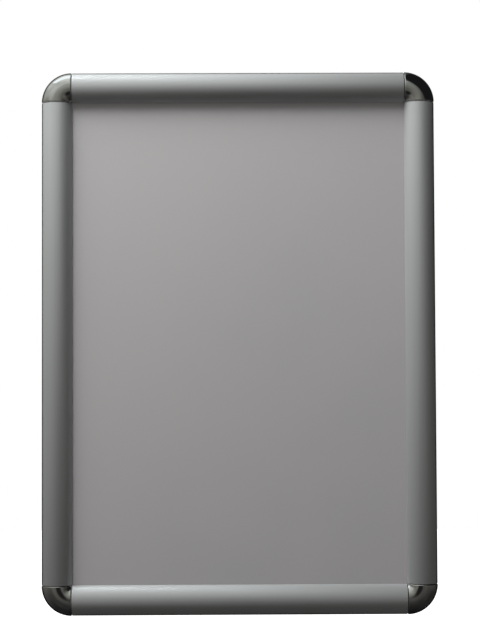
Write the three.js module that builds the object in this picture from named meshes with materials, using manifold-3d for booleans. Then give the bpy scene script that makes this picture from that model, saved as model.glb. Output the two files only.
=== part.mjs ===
// Snap poster frame with round chromed corners, made for an A3 sheet.
// Millimetres, +Z up. The front faces -Y and the wall plane is y = 0.
// Four base rails are joined by corner keys. A snap rail is hinged on the outer edge of each
// base rail and bowed leaf springs press it shut or hold it open. It clamps the sheets.
import * as THREE from 'three';
import { mergeVertices } from 'three/addons/utils/BufferGeometryUtils.js';
import Module from 'manifold-3d';

const wasm = await Module();
wasm.setup();

// Driving sizes of the frame
const posterWidth = 297;
const posterHeight = 420;
const sheetOverlap = 10; // how much of each poster edge the snap rails cover
const channelWidth = 11.9; // inside a base rail, from its outer wall to its rib
const profileDepth = 12; // wall plane to the crown of a snap rail

// Sheets held in the frame
const backPanelThickness = 2;
const coverSheetThickness = 0.8;
const sheetGap = 0.2; // between the sheets, the web under them and the foot over them
const sheetPlay = 0.8; // sheet edge to the rib that stops it

// Base rail, an extrusion with an outer wall, a hinge bead and a rib
const webThickness = 1.2;
const baseSetback = 1; // the base rail ends this far behind the snap rail's inner edge
const outerWallThickness = 1.1;
const pivotInset = 1.5; // hinge axis from the outer edge
const pivotHeight = 5; // hinge axis from the wall plane
const beadRadius = 1.2;
const rimDrop = 1.4; // outer wall's top corner below the hinge axis
const ribThickness = 1.2;
const nibDepth = 0.9; // nib on the rib, over the spring's seat
const nibThickness = 0.8;
const wallHoleRadius = 2.25;

// Snap rail, a rounded extrusion with a socket round the bead
const snapWall = 1.3;
const socketClearance = 0.15;
const socketWall = 1;
const spurReach = 0.75; // spur that the spring pushes on, beyond the socket
const lipHeight = 0.8; // flat inner edge of the snap rail
const footWidth = 2.5; // foot that presses on the cover sheet
const railEndGap = 0.4; // rail end to corner cap

// Leaf springs
const springThickness = 0.3;
const springWidth = 10;
const springBow = 1.2;
const springRise = 1.2; // spring seat over the base rail's web
const springSeatGap = 0.25;

// Corner keys, caps and screws
const keyClearance = 0.4; // key to the spurs outside it and to the sheet corners inside it
const keyThickness = 2;
const keyGap = 0.2; // under the key and over it
const keyArmLength = 25;
const armScrewInset = 15; // key screw from the end of the corner
const capWall = 1.8;
const bossRadius = 2.6;
const shankRadius = 1.2;
const holeRadius = 1.45;
const headRadius = 2.5;
const headHeight = 1;
const headInset = 0.15; // screw heads lie this far in front of the wall plane
const sinkPlay = 0.3; // countersunk head to its seat
const capScrewLength = 7;
const pilotSpare = 0.6; // pilot hole past the screw's tip
const recessLength = 2.6;
const recessWidth = 0.7;
const recessDepth = 0.5;

// Cuts run past the faces that they open by this much
const overrun = 2;

// Shares of the sizes that they follow
const apexShare = 0.49; // crown's highest line across the profile's width
const shortSpringShares = [-0.3, 0.3];
const longSpringShares = [-0.36, 0, 0.36];
const longWallHoleShares = [-0.18, 0.18];
const samePointShare = 0.001; // of a spring's thickness, nearer points are one

// Angles about the hinge axis in degrees, from inward towards the front
const rimAngle = 210; // bead meets the outer wall's slanted top
const socketTopAngle = 105;
const socketEndAngle = -94;
const spurRootAngle = -64;
const spurTipAngle = -74;
const springSeatAngle = -62;
const quarterTurn = 90;

// Steps of the round stretches in degrees, and facets round a full turn
const crownStep = 5;
const cavityStep = 10;
const socketStep = 9;
const springStep = 6;
const capFacets = 64;
const keyCornerStep = 7.5;
const roundFacets = 16;

// Sizes worked out from the ones above
const ribOuter = outerWallThickness + channelWidth;
const ribInner = ribOuter + ribThickness;
const profileWidth = ribInner + sheetPlay + sheetOverlap; // rail width seen from the front
const windowWidth = posterWidth - 2 * sheetOverlap;
const windowHeight = posterHeight - 2 * sheetOverlap;
const overallWidth = windowWidth + 2 * profileWidth;
const overallHeight = windowHeight + 2 * profileWidth;
const baseWidth = profileWidth - baseSetback;
const backPanelBottom = webThickness + sheetGap;
const coverSheetBottom = backPanelBottom + backPanelThickness + sheetGap;
const coverSheetTop = coverSheetBottom + coverSheetThickness;
const lipBottom = coverSheetTop + sheetGap;
const lipTop = lipBottom + lipHeight;
const socketInner = beadRadius + socketClearance;
const socketOuter = socketInner + socketWall;
const spurRadius = socketOuter + spurReach;
const pivot = new THREE.Vector2(pivotInset, pivotHeight);
const keyBottom = webThickness + keyGap;
const keyTop = keyBottom + keyThickness;
const keyOuterRadius = profileWidth - (pivotInset + spurRadius + keyClearance);
const keyInnerRadius = Math.SQRT2 * sheetOverlap + keyClearance;
const keyMidRadius = (keyOuterRadius + keyInnerRadius) / 2;

// Finishes, one for each kind of piece
const satinAluminium = { color: '#b4b8b9', roughness: 0.36, metalness: 1 };
const plainAluminium = { color: '#a7aaab', roughness: 0.45, metalness: 1 };
const chromedPlastic = { color: '#c9cbc6', roughness: 0.08, metalness: 1 };
const springSteel = { color: '#6f7072', roughness: 0.3, metalness: 1 };
const zincKey = { color: '#8d8f90', roughness: 0.5, metalness: 1 };
const screwSteel = { color: '#a3a39c', roughness: 0.35, metalness: 1 };
const greyPolystyrene = { color: '#9c999a', roughness: 0.6, metalness: 0 };
const mattePvc = { color: '#adabac', roughness: 0.4, metalness: 0 };

const front = new THREE.Vector3(0, -1, 0);
const root = new THREE.Group();

// Points of an arc about a centre, angles in degrees
function addArc(points, centre, radius, from, to, step) {
  const count = Math.max(1, Math.round(Math.abs(to - from) / step));
  for (let i = 0; i <= count; i++) {
    points.push(polar(centre, radius, from + ((to - from) * i) / count));
  }
}

function polar(centre, radius, degrees) {
  const angle = THREE.MathUtils.degToRad(degrees);
  const offset = new THREE.Vector2(Math.cos(angle), Math.sin(angle));
  return offset.multiplyScalar(radius).add(centre);
}

function angleTo(centre, point) {
  return THREE.MathUtils.radToDeg(Math.atan2(point.y - centre.y, point.x - centre.x));
}

// Point of a circle that lies over u, on the side nearer the front
function overAt(circle, u) {
  const across = u - circle.centre.x;
  return new THREE.Vector2(u, circle.centre.y + Math.sqrt(circle.radius ** 2 - across ** 2));
}

// Where two circles meet, the meeting point further inward
function circlesMeet(a, b) {
  const between = b.centre.clone().sub(a.centre);
  const distance = between.length();
  const along = (distance ** 2 + a.radius ** 2 - b.radius ** 2) / (2 * distance);
  const aside = Math.sqrt(a.radius ** 2 - along ** 2);
  const unit = between.divideScalar(distance);
  const foot = a.centre.clone().addScaledVector(unit, along);
  const side = new THREE.Vector2(-unit.y, unit.x);
  const meetings = [aside, -aside].map((s) => foot.clone().addScaledVector(side, s));
  return meetings[0].x > meetings[1].x ? meetings[0] : meetings[1];
}

// Solids are cut and joined as manifolds, made from closed meshes with merged vertices
function toSolid(geometry) {
  const plain = geometry.clone();
  plain.deleteAttribute('normal');
  plain.deleteAttribute('uv');
  const merged = mergeVertices(plain);
  const corners = merged.index.array;
  const kept = [];
  for (let i = 0; i < corners.length; i += 3) {
    const [a, b, c] = corners.slice(i, i + 3);
    if (a !== b && b !== c && c !== a) {
      kept.push(a, b, c);
    }
  }
  const mesh = new wasm.Mesh({
    numProp: 3,
    vertProperties: new Float32Array(merged.attributes.position.array),
    triVerts: new Uint32Array(kept),
  });
  return new wasm.Manifold(mesh);
}

function toGeometry(solid) {
  const mesh = solid.getMesh();
  const geometry = new THREE.BufferGeometry();
  geometry.setAttribute('position', new THREE.BufferAttribute(mesh.vertProperties, 3));
  geometry.setIndex(new THREE.BufferAttribute(mesh.triVerts, 1));
  geometry.computeVertexNormals();
  return geometry;
}

function extrude(points, length) {
  const shape = new THREE.Shape(points);
  return new THREE.ExtrudeGeometry(shape, { depth: length, bevelEnabled: false });
}

// A turned solid about +Y. The profile runs from low to high and starts and ends on the axis.
function turn(profile, facets) {
  const points = profile.map(([radius, height]) => new THREE.Vector2(radius, height));
  return toSolid(new THREE.LatheGeometry(points, facets));
}

function rod(radius, low, high) {
  return turn([[0, low], [radius, low], [radius, high], [0, high]], roundFacets);
}

function box(width, height, depth) {
  return toSolid(new THREE.BoxGeometry(width, height, depth));
}

function addPiece(parent, name, geometry, finish) {
  const mesh = new THREE.Mesh(geometry, new THREE.MeshStandardMaterial(finish));
  mesh.name = name;
  parent.add(mesh);
  return mesh;
}

// The crown is two arcs that meet level at the apex. The outer arc starts on the socket's
// top corner and the inner arc ends on the lip.
const apex = new THREE.Vector2(profileWidth * apexShare, profileDepth);
const socketTopCorner = polar(pivot, socketOuter, socketTopAngle);
const lipCorner = new THREE.Vector2(profileWidth, lipTop);
const outerCrown = crownArc(socketTopCorner);
const innerCrown = crownArc(lipCorner);

function crownArc(end) {
  const across = end.x - apex.x;
  const drop = apex.y - end.y;
  const radius = (across ** 2 + drop ** 2) / (2 * drop);
  return { centre: new THREE.Vector2(apex.x, apex.y - radius), radius };
}

function shrunk(circle, wall) {
  return { centre: circle.centre, radius: circle.radius - wall };
}

// Sections are drawn across a rail: x is the distance inward from the outer edge,
// y the distance from the wall plane.
function snapSection() {
  const points = [];
  const outerInside = shrunk(outerCrown, snapWall);
  const innerInside = shrunk(innerCrown, snapWall);
  const footInner = profileWidth - footWidth;
  const footTop = overAt(innerInside, footInner);
  const socket = { centre: pivot, radius: socketOuter };
  const inCorner = circlesMeet(outerInside, socket);
  const outerStart = angleTo(outerCrown.centre, socketTopCorner);
  const innerEnd = angleTo(innerCrown.centre, lipCorner);
  addArc(points, outerCrown.centre, outerCrown.radius, outerStart, quarterTurn, crownStep);
  addArc(points, innerCrown.centre, innerCrown.radius, quarterTurn, innerEnd, crownStep);
  points.push(new THREE.Vector2(profileWidth, lipBottom));
  points.push(new THREE.Vector2(footInner, lipBottom));
  const insideStart = angleTo(innerInside.centre, footTop);
  const insideEnd = angleTo(outerInside.centre, inCorner);
  addArc(points, innerInside.centre, innerInside.radius, insideStart, quarterTurn, crownStep);
  addArc(points, outerInside.centre, outerInside.radius, quarterTurn, insideEnd, crownStep);
  addArc(points, pivot, socketOuter, angleTo(pivot, inCorner), spurRootAngle, socketStep);
  addArc(points, pivot, spurRadius, spurTipAngle, socketEndAngle, socketStep);
  addArc(points, pivot, socketInner, socketEndAngle, socketTopAngle, socketStep);
  return withoutRepeats(points);
}

function baseSection() {
  const beadFoot = Math.sqrt(beadRadius ** 2 - (pivotInset - outerWallThickness) ** 2);
  const neck = new THREE.Vector2(outerWallThickness, pivotHeight - beadFoot);
  const points = [
    new THREE.Vector2(0, 0),
    new THREE.Vector2(baseWidth, 0),
    new THREE.Vector2(baseWidth, webThickness),
    new THREE.Vector2(ribInner, webThickness),
    new THREE.Vector2(ribInner, coverSheetTop),
    new THREE.Vector2(ribOuter - nibDepth, coverSheetTop),
    new THREE.Vector2(ribOuter - nibDepth, coverSheetTop - nibThickness),
    new THREE.Vector2(ribOuter, coverSheetTop - nibThickness),
    new THREE.Vector2(ribOuter, webThickness),
    new THREE.Vector2(outerWallThickness, webThickness),
  ];
  addArc(points, pivot, beadRadius, angleTo(pivot, neck), rimAngle, socketStep);
  points.push(new THREE.Vector2(0, pivotHeight - rimDrop));
  return points;
}

// The strip's middle line is an arc between its two seats
function springSection() {
  const seatRadius = socketOuter + springSeatGap + springThickness / 2;
  const outerSeat = polar(pivot, seatRadius, springSeatAngle);
  const innerSeat = new THREE.Vector2(ribOuter - springSeatGap, webThickness + springRise);
  const chord = innerSeat.clone().sub(outerSeat);
  const half = chord.length() / 2;
  const radius = (half ** 2 + springBow ** 2) / (2 * springBow);
  const upward = new THREE.Vector2(-chord.y, chord.x).normalize();
  const middle = outerSeat.clone().add(innerSeat).divideScalar(2);
  const centre = middle.addScaledVector(upward, springBow - radius);
  const from = angleTo(centre, outerSeat);
  const to = angleTo(centre, innerSeat);
  const points = [];
  addArc(points, centre, radius + springThickness / 2, from, to, springStep);
  addArc(points, centre, radius - springThickness / 2, to, from, springStep);
  return points;
}

// Arcs that follow each other share a point, which is kept once
function withoutRepeats(points) {
  const near = springThickness * samePointShare;
  return points.filter((p, i) => i === 0 || p.distanceTo(points[i - 1]) > near);
}

// A rail lies along its side's z, with its middle at zero
function railGeometry(section, length) {
  return extrude(section, length).translate(0, 0, -length / 2);
}

function sinkCutter() {
  const profile = [
    [0, -overrun],
    [headRadius + sinkPlay, -overrun],
    [headRadius + sinkPlay, 0],
    [holeRadius, webThickness],
    [holeRadius, webThickness + overrun],
    [0, webThickness + overrun],
  ];
  return turn(profile, roundFacets);
}

function baseRail(side) {
  let solid = toSolid(railGeometry(baseSection(), side.window - 2 * railEndGap));
  const channel = profileWidth - keyMidRadius;
  for (const end of [-1, 1]) {
    const along = end * (side.window / 2 - armScrewInset);
    solid = solid.subtract(sinkCutter().translate([channel, 0, along]));
  }
  for (const share of side.wallHoleShares) {
    const hole = rod(wallHoleRadius, -overrun, webThickness + overrun);
    solid = solid.subtract(hole.translate([channel, 0, share * side.window]));
  }
  return toGeometry(solid);
}

function makeSide(side) {
  const group = new THREE.Group();
  const along = new THREE.Vector3().crossVectors(side.inward, front);
  const turned = new THREE.Matrix4().makeBasis(side.inward, front, along);
  group.quaternion.setFromRotationMatrix(turned);
  group.position.copy(side.inward).multiplyScalar(-side.reach);
  addPiece(group, `base_rail_${side.name}`, baseRail(side), plainAluminium);
  const snap = railGeometry(snapSection(), side.window - 2 * railEndGap);
  addPiece(group, `snap_rail_${side.name}`, snap, satinAluminium);
  side.springShares.forEach((share, i) => {
    const strip = railGeometry(springSection(), springWidth);
    const spring = addPiece(group, `rail_spring_${side.name}_${i + 1}`, strip, springSteel);
    spring.position.z = share * side.window;
  });
  return group;
}

// Turned outlines of a cap, by radius from the inner corner and height from the wall plane
function capOutside() {
  const start = angleTo(outerCrown.centre, overAt(outerCrown, 0));
  const end = angleTo(innerCrown.centre, lipCorner);
  const points = [];
  addArc(points, outerCrown.centre, outerCrown.radius, start, quarterTurn, crownStep);
  addArc(points, innerCrown.centre, innerCrown.radius, quarterTurn, end, crownStep);
  const crown = withoutRepeats(points).map((p) => [profileWidth - p.x, p.y]);
  return [[0, 0], [profileWidth, 0], ...crown.slice(0, -1), [0, lipTop]];
}

function capCavity() {
  const outerInside = shrunk(outerCrown, capWall);
  const innerInside = shrunk(innerCrown, capWall);
  const start = angleTo(outerInside.centre, overAt(outerInside, capWall));
  const end = angleTo(innerInside.centre, overAt(innerInside, profileWidth - footWidth));
  const points = [];
  addArc(points, outerInside.centre, outerInside.radius, start, quarterTurn, cavityStep);
  addArc(points, innerInside.centre, innerInside.radius, quarterTurn, end, cavityStep);
  const crown = withoutRepeats(points).map((p) => [profileWidth - p.x, p.y]);
  const foot = [[footWidth, lipBottom], [0, lipBottom]];
  return [[0, -overrun], [profileWidth - capWall, -overrun], ...crown, ...foot];
}

// The boss stands on the key, on the corner's diagonal
const bossPlace = keyMidRadius / Math.SQRT2;
const bossBottom = keyTop + keyGap;

function cornerCap() {
  const boss = rod(bossRadius, bossBottom, profileDepth + overrun).translate([bossPlace, 0, bossPlace]);
  const cavity = turn(capCavity(), capFacets).subtract(boss);
  const side = profileWidth + overrun;
  const height = profileDepth + 2 * overrun;
  const quarter = box(side, height, side).translate([side / 2, profileDepth / 2, side / 2]);
  const shell = turn(capOutside(), capFacets).subtract(cavity).intersect(quarter);
  const pilotTop = headInset + headHeight + capScrewLength + pilotSpare;
  const pilot = rod(holeRadius, bossBottom - overrun, pilotTop).translate([bossPlace, 0, bossPlace]);
  return toGeometry(shell.subtract(pilot));
}

// Arms of the key lie along -x and -z, joined by a quarter ring. Each arm has one screw.
const keyScrewPlaces = [
  [keyMidRadius, -armScrewInset],
  [-armScrewInset, keyMidRadius],
];

function cornerKey() {
  const points = [];
  const corner = new THREE.Vector2(0, 0);
  points.push(new THREE.Vector2(keyOuterRadius, -keyArmLength));
  addArc(points, corner, keyOuterRadius, 0, quarterTurn, keyCornerStep);
  points.push(new THREE.Vector2(-keyArmLength, keyOuterRadius));
  points.push(new THREE.Vector2(-keyArmLength, keyInnerRadius));
  addArc(points, corner, keyInnerRadius, quarterTurn, 0, keyCornerStep);
  points.push(new THREE.Vector2(keyInnerRadius, -keyArmLength));
  const plate = extrude(points, keyThickness).rotateX(Math.PI / 2).translate(0, keyTop, 0);
  const hole = rod(holeRadius, keyBottom - overrun, keyTop + overrun);
  let solid = toSolid(plate);
  for (const [x, z] of [[bossPlace, bossPlace], ...keyScrewPlaces]) {
    solid = solid.subtract(hole.translate([x, 0, z]));
  }
  return toGeometry(solid);
}

function cutRecess(solid) {
  const height = 2 * (headInset + recessDepth);
  const slot = box(recessLength, height, recessWidth);
  return solid.subtract(slot).subtract(slot.rotate([0, quarterTurn, 0]));
}

function capScrew() {
  const headTop = headInset + headHeight;
  const profile = [
    [0, headInset],
    [headRadius, headInset],
    [headRadius, headTop],
    [shankRadius, headTop],
    [shankRadius, headTop + capScrewLength],
    [0, headTop + capScrewLength],
  ];
  return toGeometry(cutRecess(turn(profile, roundFacets)));
}

function keyScrew() {
  const profile = [
    [0, headInset],
    [headRadius, headInset],
    [shankRadius, webThickness],
    [shankRadius, keyTop],
    [0, keyTop],
  ];
  return toGeometry(cutRecess(turn(profile, roundFacets)));
}

// A corner's x and z point outward from its inner corner, y to the front
function makeCorner(corner) {
  const sideways = new THREE.Vector3(corner.right, 0, 0);
  const upward = new THREE.Vector3(0, 0, corner.up);
  const x = corner.right * corner.up < 0 ? sideways : upward;
  const z = corner.right * corner.up < 0 ? upward : sideways;
  const group = new THREE.Group();
  group.quaternion.setFromRotationMatrix(new THREE.Matrix4().makeBasis(x, front, z));
  group.position.set((corner.right * windowWidth) / 2, 0, (corner.up * windowHeight) / 2);
  addPiece(group, `corner_cap_${corner.name}`, cornerCap(), chromedPlastic);
  addPiece(group, `corner_key_${corner.name}`, cornerKey(), zincKey);
  const centreScrew = addPiece(group, `cap_screw_${corner.name}`, capScrew(), screwSteel);
  centreScrew.position.set(bossPlace, 0, bossPlace);
  keyScrewPlaces.forEach(([placeX, placeZ], i) => {
    const screw = addPiece(group, `key_screw_${corner.name}_${i + 1}`, keyScrew(), screwSteel);
    screw.position.set(placeX, 0, placeZ);
  });
  return group;
}

function addSheet(parent, name, bottom, thickness, finish) {
  const sheet = new THREE.BoxGeometry(posterWidth, thickness, posterHeight);
  const mesh = addPiece(parent, name, sheet, finish);
  mesh.position.y = -(bottom + thickness / 2);
}

const shortSide = {
  window: windowWidth,
  reach: overallHeight / 2,
  springShares: shortSpringShares,
  wallHoleShares: [],
};
const longSide = {
  window: windowHeight,
  reach: overallWidth / 2,
  springShares: longSpringShares,
  wallHoleShares: longWallHoleShares,
};
const sides = [
  { name: 'top', inward: new THREE.Vector3(0, 0, -1), ...shortSide },
  { name: 'bottom', inward: new THREE.Vector3(0, 0, 1), ...shortSide },
  { name: 'left', inward: new THREE.Vector3(1, 0, 0), ...longSide },
  { name: 'right', inward: new THREE.Vector3(-1, 0, 0), ...longSide },
];
const corners = [
  { name: 'top_left', right: -1, up: 1 },
  { name: 'top_right', right: 1, up: 1 },
  { name: 'bottom_left', right: -1, up: -1 },
  { name: 'bottom_right', right: 1, up: -1 },
];

// The origin is on the wall plane, behind the middle of the top base rail
const frame = new THREE.Group();
frame.position.z = baseWidth / 2 - overallHeight / 2;
sides.forEach((side) => frame.add(makeSide(side)));
corners.forEach((corner) => frame.add(makeCorner(corner)));
addSheet(frame, 'back_panel', backPanelBottom, backPanelThickness, greyPolystyrene);
addSheet(frame, 'cover_sheet', coverSheetBottom, coverSheetThickness, mattePvc);
root.add(frame);

export default root;
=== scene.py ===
# Snap poster frame for an A3 sheet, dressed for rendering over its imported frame.
import math

import bmesh
import bpy
from mathutils import Matrix, Vector


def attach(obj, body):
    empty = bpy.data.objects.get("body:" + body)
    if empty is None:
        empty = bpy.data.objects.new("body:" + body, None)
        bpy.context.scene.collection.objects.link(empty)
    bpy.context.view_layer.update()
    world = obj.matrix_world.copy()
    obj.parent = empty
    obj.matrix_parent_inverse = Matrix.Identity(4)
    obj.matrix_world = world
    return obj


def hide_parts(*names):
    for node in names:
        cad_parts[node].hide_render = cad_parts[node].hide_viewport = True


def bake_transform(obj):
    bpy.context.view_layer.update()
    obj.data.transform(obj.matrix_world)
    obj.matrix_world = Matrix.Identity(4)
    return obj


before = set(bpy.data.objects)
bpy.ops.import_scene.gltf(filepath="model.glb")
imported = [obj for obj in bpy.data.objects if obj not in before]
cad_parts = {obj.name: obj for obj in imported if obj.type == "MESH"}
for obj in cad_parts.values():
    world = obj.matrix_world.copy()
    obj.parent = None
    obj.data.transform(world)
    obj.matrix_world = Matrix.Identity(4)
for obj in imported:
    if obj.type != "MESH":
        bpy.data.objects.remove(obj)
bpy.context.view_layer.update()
print("frame loaded with", len(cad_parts), "nodes")

mm = 0.001
origin = (0.0, 0.0)
towardViewer = Vector((0, -1, 0))

# Sizes that all pieces share, in millimetres, the same as in the part's source
sizes = {
    "window": (277, 400),
    "profile": 25,
    "depth": 12,
    "top edge": 12,
    "rail end gap": 0.4,
    "pivot": (1.5, 5),
    "lip": (4.6, 5.4),
    "foot": 2.5,
    "apex": 12.25,
    "web": 1.2,
    "sheet top": 4.4,
    "key": (1.4, 3.4),
    "key screw inset": 15,
}
windowWidth, windowHeight = sizes["window"]
profile = sizes["profile"]
outerWidth = windowWidth + 2 * profile
outerHeight = windowHeight + 2 * profile
middle = Vector((0, 0, (sizes["top edge"] - outerHeight / 2) * mm))


# Colours are written as sRGB hex and used as linear
def colour(hexCode):
    parts = [int(hexCode[i:i + 2], 16) / 255 for i in (1, 3, 5)]
    linear = [c / 12.92 if c <= 0.04045 else ((c + 0.055) / 1.055) ** 2.4 for c in parts]
    return (*linear, 1.0)


def newObject(name, data):
    made = bpy.data.objects.new(name, data)
    bpy.context.scene.collection.objects.link(made)
    return made


# Adds one node, sets what is given and links the sockets among the inputs
def addNode(tree, kind, inputs=None, **settings):
    node = tree.nodes.new(kind)
    for name, value in settings.items():
        setattr(node, name, value)
    for name, value in (inputs or {}).items():
        if isinstance(value, bpy.types.NodeSocket):
            tree.links.new(value, node.inputs[name])
        else:
            node.inputs[name].default_value = value
    return node


# Most of a noise lies between these two
noiseLow, noiseHigh = 0.3, 0.7


# Makes a material without nodes but one, which gives the place on the piece in metres
def newMaterial(name):
    made = bpy.data.materials.new(name)
    made.use_nodes = True
    made.node_tree.nodes.clear()
    place = addNode(made.node_tree, "ShaderNodeTexCoord").outputs["Object"]
    return made, made.node_tree, place


# Ends a material: its shader, with the relief that a height gives it
def dressed(made, height, depth, strength, inputs):
    tree = made.node_tree
    bump = addNode(tree, "ShaderNodeBump", {
        "Strength": strength,
        "Distance": depth * mm,
        "Height": height,
    })
    shader = addNode(tree, "ShaderNodeBsdfPrincipled", {
        **inputs,
        "Normal": bump.outputs["Normal"],
    })
    addNode(tree, "ShaderNodeOutputMaterial", {"Surface": shader.outputs["BSDF"]})
    return made


# Sections are drawn across a rail: x inward from the outer edge, y out from the wall
def polar(centre, radius, degrees):
    angle = math.radians(degrees)
    return (centre[0] + radius * math.cos(angle), centre[1] + radius * math.sin(angle))


def arc(centre, radius, start, end, step):
    count = max(1, round(abs(end - start) / step))
    return [polar(centre, radius, start + (end - start) * i / count) for i in range(count + 1)]


def angleTo(centre, point):
    return math.degrees(math.atan2(point[1] - centre[1], point[0] - centre[0]))


def overAt(circle, across):
    (cx, cy), radius = circle
    return (across, cy + math.sqrt(radius ** 2 - (across - cx) ** 2))


# Arc that is level at the crown's highest line and ends on a given point
def crownArc(end):
    across = end[0] - sizes["apex"]
    drop = sizes["depth"] - end[1]
    radius = (across ** 2 + drop ** 2) / (2 * drop)
    return (sizes["apex"], sizes["depth"] - radius), radius


# Along the crown from a point on one of its arcs to a point on the other
def crownBetween(first, start, second, end, step):
    points = arc(*first, angleTo(first[0], start), 90, step)
    return points + arc(*second, 90, angleTo(second[0], end), step)


def shrunk(circle, wall):
    return circle[0], circle[1] - wall


# Where two circles meet, the meeting point further inward
def circlesMeet(a, b):
    (ax, ay), ra = a
    (bx, by), rb = b
    distance = math.hypot(bx - ax, by - ay)
    along = (distance ** 2 + ra ** 2 - rb ** 2) / (2 * distance)
    aside = math.sqrt(ra ** 2 - along ** 2)
    ux, uy = (bx - ax) / distance, (by - ay) / distance
    foot = (ax + ux * along, ay + uy * along)
    return max((foot[0] - uy * s, foot[1] + ux * s) for s in (aside, -aside))


def withoutRepeats(points, near=0.002):
    kept = []
    for p in points:
        if not kept or math.dist(p, kept[-1]) > near:
            kept.append(p)
    if math.dist(kept[0], kept[-1]) < near:
        kept.pop()
    return kept


# Smooth bend between two points, drawn toward the corner that they would meet in
def bend(start, corner, end, steps):
    start, corner, end = Vector(start), Vector(corner), Vector(end)
    shares = [k / steps for k in range(steps + 1)]
    curve = [start * (1 - t) ** 2 + corner * 2 * t * (1 - t) + end * t ** 2 for t in shares]
    return [(p.x, p.y) for p in curve]


# Rounds each sharp corner of a closed outline and returns the points with how worn each one is: 1 on
# edges,
# 0 between, and below zero where shade is painted dark
def soften(points, radius, sharp=24, steps=4):
    points = withoutRepeats(points)
    made = []
    count = len(points)
    for i, here in enumerate(points):
        before, after = Vector(points[i - 1]), Vector(points[(i + 1) % count])
        corner = Vector(here)
        back, ahead = before - corner, after - corner
        turn = math.pi - back.angle(ahead)
        if math.degrees(turn) < sharp:
            made.append((here[0], here[1], 0.0))
            continue
        room = 0.45 * min(back.length, ahead.length)  # leaves a little of each side straight
        reach = min(radius * math.tan(turn / 2), room)
        start = corner + back.normalized() * reach
        end = corner + ahead.normalized() * reach
        made += [(x, y, 1.0) for x, y in bend(start, corner, end, steps)]
    return made


def turnsLeft(points):
    pairs = zip(points, points[1:] + points[:1])
    return sum(a[0] * b[1] - b[0] * a[1] for a, b in pairs) > 0


# Moves a closed outline inward by a distance, and no sharp corner by more than twice as much
def inset(points, distance):
    if distance == 0:
        return [(p[0], p[1]) for p in points]
    side = 1 if turnsLeft(points) else -1
    made = []
    count = len(points)
    for i, here in enumerate(points):
        ahead = Vector(points[(i + 1) % count][:2]) - Vector(here[:2])
        behind = Vector(here[:2]) - Vector(points[i - 1][:2])
        a, b = ahead.normalized(), behind.normalized()
        normal = Vector((-(a.y + b.y), a.x + b.x)) * side
        if normal.length < 0.01:  # the outline folds back here
            made.append((here[0], here[1]))
            continue
        normal.normalize()
        lean = max(0.5, normal.dot(Vector((-a.y, a.x)) * side))
        made.append((here[0] + normal.x * distance / lean, here[1] + normal.y * distance / lean))
    return made


# Quarter round of an arris: how far in from the end, and how far the outline shrinks there
def arrisSteps(radius, steps=3):
    turns = [math.pi / 2 * k / steps for k in range(steps + 1)]
    return [(radius * (1 - math.cos(t)), radius * (1 - math.sin(t))) for t in turns]


# Where an outline stands between two ends that both have an arris, and how far it shrinks there
def arrisPlaces(low, high, radius):
    steps = arrisSteps(radius)
    places = [(low + inward, shrink) for inward, shrink in steps]
    return places + [(high - inward, shrink) for inward, shrink in reversed(steps)]


# Faces between rings that have the same number of points
def facesBetween(rings, size):
    faces = []
    for low, high in ((r * size, (r + 1) * size) for r in range(rings - 1)):
        for i in range(size):
            j = (i + 1) % size
            faces.append((low + i, low + j, high + j, high + i))
    return faces


# Makes an object from rings of points in millimetres, closed by a face at each end
def fromRings(name, rings, wearAndShade=()):
    size = len(rings[0])
    verts = [tuple(c * mm for c in p) for ring in rings for p in ring]
    faces = facesBetween(len(rings), size)
    faces.append(tuple(reversed(range(size))))
    faces.append(tuple(range((len(rings) - 1) * size, len(rings) * size)))
    return fromFaces(name, verts, faces, [w for ring in wearAndShade for w in ring])


samePoint = 0.0000005  # metres, nearer points are one


# Makes an object from points in metres and their faces
def fromFaces(name, verts, faces, wearAndShade=()):
    mesh = bpy.data.meshes.new(name)
    mesh.from_pydata(verts, [], faces)
    # Values above zero are the edges' wear, and values below zero mark painted shade
    if wearAndShade:
        mesh.attributes.new("edgeWearAndShade", "FLOAT", "POINT").data.foreach_set("value", wearAndShade)
    work = bmesh.new()
    work.from_mesh(mesh)
    bmesh.ops.remove_doubles(work, verts=work.verts, dist=samePoint)
    bmesh.ops.dissolve_degenerate(work, edges=work.edges, dist=samePoint)
    bmesh.ops.recalc_face_normals(work, faces=work.faces)
    work.to_mesh(mesh)
    work.free()
    shadeByAngle(mesh)
    return newObject(name, mesh)


def shadeByAngle(mesh, degrees=31):
    mesh.shade_smooth()
    mesh.set_sharp_from_angle(angle=math.radians(degrees))


lengthwiseWear = 0.6  # the long edges are less worn than the cut ends


# A length of extrusion along z, its middle at zero, with a small rounded arris on both ends
def extruded(name, outline, length, arris):
    places = arrisPlaces(-length / 2, length / 2, arris)
    rings = [[(x, y, z) for x, y in inset(outline, shrink)] for z, shrink in places]
    wearAndShade = [[1.0 if shrink > 0 else lengthwiseWear * p[2] for p in outline] for _, shrink in places]
    return fromRings(name, rings, wearAndShade)


# How many facets go round each kind of round piece
facetCounts = {"hole": 36, "wall hole": 48, "boss": 36, "head": 40, "thread": 30, "floor": 96}


# A solid turned about y, its outline given as radius and height from one end of the axis to the other
def turned(name, outline, facets, place):
    verts, faces, rows = [], [], []
    for radius, height in outline:
        if radius == 0:
            rows.append([len(verts)])
            verts.append((place[0] * mm, height * mm, place[1] * mm))
            continue
        rows.append(list(range(len(verts), len(verts) + facets)))
        for i in range(facets):
            x, z = polar(place, radius, 360 * i / facets)
            verts.append((x * mm, height * mm, z * mm))
    for low, high in zip(rows, rows[1:]):
        for i in range(facets):
            j = (i + 1) % facets
            quad = [low[i % len(low)], low[j % len(low)], high[j % len(high)], high[i % len(high)]]
            face = tuple(dict.fromkeys(quad))  # three corners where a row is one point
            if len(face) > 2:
                faces.append(face)
    return fromFaces(name, verts, faces)


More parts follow.
